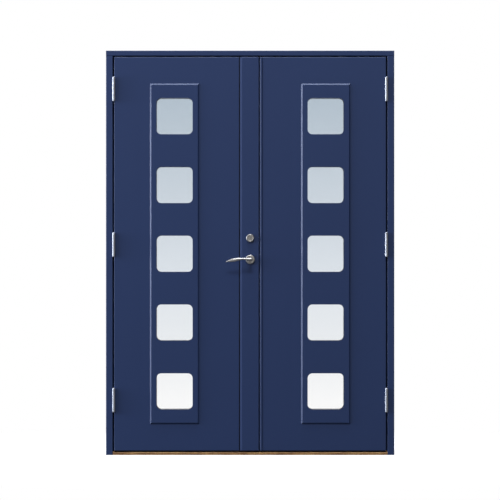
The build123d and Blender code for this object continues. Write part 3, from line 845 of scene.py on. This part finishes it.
outside_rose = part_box("outside_lever_rose")[0].y / MM
inside_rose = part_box("inside_lever_rose")[1].y / MM
guard_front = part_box("outside_cylinder")[0].y / MM
turned_ring("outside_rose_hollow", LEVER_Z, outside_rose, -1, ROSE_HOLLOW, STEEL_SATIN)
turned_ring("inside_rose_hollow", LEVER_Z, inside_rose, 1, ROSE_HOLLOW, STEEL_SATIN)
turned_ring("guard_hollow", CYLINDER_Z, guard_front, -1, GUARD_HOLLOW, STEEL_SATIN)
# Painted shade: a thin dark ring in the gap round the key plug
turned_ring("plug_gap", CYLINDER_Z, guard_front, -1, PLUG_GAP, STEEL_PAINTED_SHADE)

# %% [markdown]
# The key goes into an upright slot with a waist on each side, from the wards. The slot is painted shade: it
# could be cut out of the plug, but a dark piece that fills it stands in for the shade deep in the keyway,
# leaves the imported plug as it is and reads the same.

# %% Key slot
WARDS = [
    (-1.1, -5.3), (1.1, -5.3), (1.1, -2.4), (0.4, -1.8), (1.1, -0.9), (1.1, 5.3), (-1.1, 5.3),
    (-1.1, 2.2), (-0.4, 1.5), (-1.1, 0.6)]
SLOT_FRONT = 2.0
SLOT_BACK = 3.9
slot_shape = bmesh.new()
loops = []
for depth in (SLOT_FRONT, SLOT_BACK):
    ring = [Vector((x, guard_front + depth, CYLINDER_Z + z)) * MM for x, z in WARDS]
    loops.append([slot_shape.verts.new(spot) for spot in ring])
join_loops(slot_shape, loops)
# Painted shade: a dark piece filling the keyway
key_slot = keep_shape(slot_shape, "key_slot", STEEL_PAINTED_SHADE)
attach(key_slot, "left_leaf")

# %% [markdown]
# The studio is plain: a wide flat floor under the door, so wide that its edge lies out of sight. A curved
# backdrop could hide the horizon, but the white surround further down already does.

# %% Floor
FLOOR_SIZE = 60.0
floor_mesh = bpy.data.meshes.new("floor")
half = FLOOR_SIZE / 2
floor_mesh.from_pydata(
    [(-half, -half, 0), (half, -half, 0), (half, half, 0), (-half, half, 0)], [], [(0, 1, 2, 3)])
floor = in_scene("floor", floor_mesh)
print("floor:", FLOOR_SIZE, "m")

# %% [markdown]
# The floor is pale, and the camera sees it as white, apart from the door's own soft shadow close by. Strong
# lamps could bleach a grey floor to white, but they would bleach the door too, so Light Path gives the
# white to camera rays and to rays through glass. Mirrored rays get a little of it, and the light that
# bounces on to the door comes from a grey floor.

# %% What each ray sees of the floor
FLOOR_PALE = "#C8C8C8"
FLOOR_GREY = "#4A4B4E"
WHITE = "#FFFFFF"
FLOOR_GLOW = 0.55
FLOOR_MIRRORED = 0.08
SHADOW_REACH = (0.9, 2.2)
floor_material = bpy.data.materials.new("studio_floor")
floor_material.use_nodes = True
tree = floor_material.node_tree
tree.nodes.clear()
place = add(tree, "ShaderNodeTexCoord")
away = add(tree, "ShaderNodeVectorMath", {0: place.outputs["Object"]}, operation="LENGTH")
near = add(tree, "ShaderNodeMapRange", {
    "Value": away.outputs["Value"], "From Min": SHADOW_REACH[0], "From Max": SHADOW_REACH[1],
    "To Min": 1.0, "To Max": 0.0}, interpolation_type="SMOOTHSTEP")
ray = add(tree, "ShaderNodeLightPath")
direct = add(tree, "ShaderNodeMath", {
    0: ray.outputs["Is Camera Ray"], 1: ray.outputs["Is Transmission Ray"]}, operation="MAXIMUM")
mirrored = add(tree, "ShaderNodeMath", {
    0: ray.outputs["Is Glossy Ray"], 1: FLOOR_MIRRORED}, operation="MULTIPLY")
seen = add(tree, "ShaderNodeMath", {
    0: direct.outputs["Value"], 1: mirrored.outputs["Value"]}, operation="MAXIMUM")
pale = add(tree, "ShaderNodeBsdfDiffuse", {"Color": linear(FLOOR_PALE)})
glow = add(tree, "ShaderNodeEmission", {"Color": linear(WHITE), "Strength": FLOOR_GLOW})
white = add(tree, "ShaderNodeEmission", {"Color": linear(WHITE), "Strength": 1.0})
lit = add(tree, "ShaderNodeAddShader", {0: pale.outputs["BSDF"], 1: glow.outputs["Emission"]})
shown = add(tree, "ShaderNodeMixShader", {
    "Fac": near.outputs["Result"], 1: white.outputs["Emission"], 2: lit.outputs["Shader"]})
grey = add(tree, "ShaderNodeBsdfDiffuse", {"Color": linear(FLOOR_GREY)})
look = add(tree, "ShaderNodeMixShader", {
    "Fac": seen.outputs["Value"], 1: grey.outputs["BSDF"], 2: shown.outputs["Shader"]})
add(tree, "ShaderNodeOutputMaterial", {"Surface": look.outputs["Shader"]})
floor_mesh.materials.append(floor_material)
print("floor material:", len(tree.nodes), "nodes")

# %% [markdown]
# The surround is white to the camera and through the glass, as in the picture. For what metal and paint
# mirror, it is bright in front and behind and dimmer at the sides, as with white screens in a studio, and
# scattered light gets an even, dim fill. One white for all would be simpler, but it lays a pale veil over
# the dark paint.

# %% World
SURROUND_FILL = 0.18
SURROUND_DIM = 0.10
FRONT_BRIGHT = 0.65
SCREEN_EDGE = (0.35, 0.75)
world = bpy.data.worlds.new("studio_surround")
bpy.context.scene.world = world
world.use_nodes = True
tree = world.node_tree
tree.nodes.clear()
ray = add(tree, "ShaderNodeLightPath")
seen = add(tree, "ShaderNodeMath", {
    0: ray.outputs["Is Camera Ray"], 1: ray.outputs["Is Transmission Ray"]}, operation="MAXIMUM")
direction = add(tree, "ShaderNodeTexCoord")
parts = add(tree, "ShaderNodeSeparateXYZ", {"Vector": direction.outputs["Generated"]})
depth = add(tree, "ShaderNodeMath", {0: parts.outputs["Y"]}, operation="ABSOLUTE")
front = add(tree, "ShaderNodeMapRange", {
    "Value": depth.outputs["Value"], "From Min": SCREEN_EDGE[0], "From Max": SCREEN_EDGE[1],
    "To Min": SURROUND_DIM, "To Max": FRONT_BRIGHT}, interpolation_type="SMOOTHSTEP")
screens = add(tree, "ShaderNodeBackground", {
    "Color": linear(WHITE), "Strength": front.outputs["Result"]})
fill = add(tree, "ShaderNodeBackground", {"Color": linear(WHITE), "Strength": SURROUND_FILL})
white = add(tree, "ShaderNodeBackground", {"Color": linear(WHITE), "Strength": 1.0})
bounced = add(tree, "ShaderNodeMixShader", {
    "Fac": ray.outputs["Is Glossy Ray"], 1: fill.outputs["Background"], 2: screens.outputs["Background"]})
mixed = add(tree, "ShaderNodeMixShader", {
    "Fac": seen.outputs["Value"], 1: bounced.outputs["Shader"], 2: white.outputs["Background"]})
add(tree, "ShaderNodeOutputWorld", {"Surface": mixed.outputs["Shader"]})
print("world:", len(tree.nodes), "nodes")

# %% [markdown]
# Large soft lights stand at the left, overhead and in front, far enough away that they light both leaves
# alike, and one more lights the back. The left and upper lights graze the face, so they pick out the
# bevels of the boards. A single light in front would be simpler, but it would flatten them.

# %% Lights
DOOR_MIDDLE = Vector((0.0, 0.0, 1.05))
COOL = "#E6EEFF"


def soft_light(name, place, width, height, watts, colour=WHITE):
    """A large soft lamp that faces the middle of the door and that the camera doesn't see."""
    lamp = bpy.data.lights.new(name, "AREA")
    lamp.shape = "RECTANGLE"
    lamp.size = width
    lamp.size_y = height
    lamp.energy = watts
    lamp.color = linear(colour)[:3]
    light = in_scene(name, lamp)
    light.location = place
    light.rotation_euler = (DOOR_MIDDLE - Vector(place)).to_track_quat("-Z", "Y").to_euler()
    light.visible_camera = False
    light.visible_transmission = False
    print("light:", name, watts, "W")


soft_light("left_light", (-7.8, -2.6, 3.2), 5.0, 5.5, 700.0, COOL)
soft_light("upper_light", (-0.8, -2.2, 10.4), 5.5, 4.0, 260.0, COOL)
soft_light("front_light", (-0.8, -9.2, 13.75), 2.2, 2.2, 1090.0)
soft_light("left_strip", (-11.0, -1.2, 1.9), 1.9, 3.6, 680.0, COOL)
soft_light("upper_strip", (0.0, -0.9, 9.4), 3.6, 1.4, 430.0, COOL)
soft_light("back_light", (5.2, 6.2, 4.2), 3.0, 3.0, 560.0)

# %% [markdown]
# The picture was taken straight on, with almost no perspective: a long lens from far away, level with the
# middle of the picture. An orthographic camera could stand in for it, but a real lens keeps a trace of depth
# in the reveals of the windows.

# %% Camera
CAMERA_DISTANCE = 14.0
VIEW_WIDTH = 2.5835
CAMERA_HEIGHT = 1.0595
CAMERA_SIDE = -0.0007
SENSOR = 36.0
door_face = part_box("left_leaf_slab")[0].y
camera_data = bpy.data.cameras.new("camera")
camera_data.sensor_width = SENSOR
camera_data.lens = SENSOR * (CAMERA_DISTANCE + door_face) / VIEW_WIDTH
camera_data.clip_end = 100.0
camera = in_scene("camera", camera_data)
camera.location = (CAMERA_SIDE, -CAMERA_DISTANCE, CAMERA_HEIGHT)
camera.rotation_euler = (math.pi / 2, 0.0, 0.0)
bpy.context.scene.camera = camera
bpy.context.scene.view_settings.view_transform = "Standard"
print("lens", round(camera_data.lens, 1), "mm")
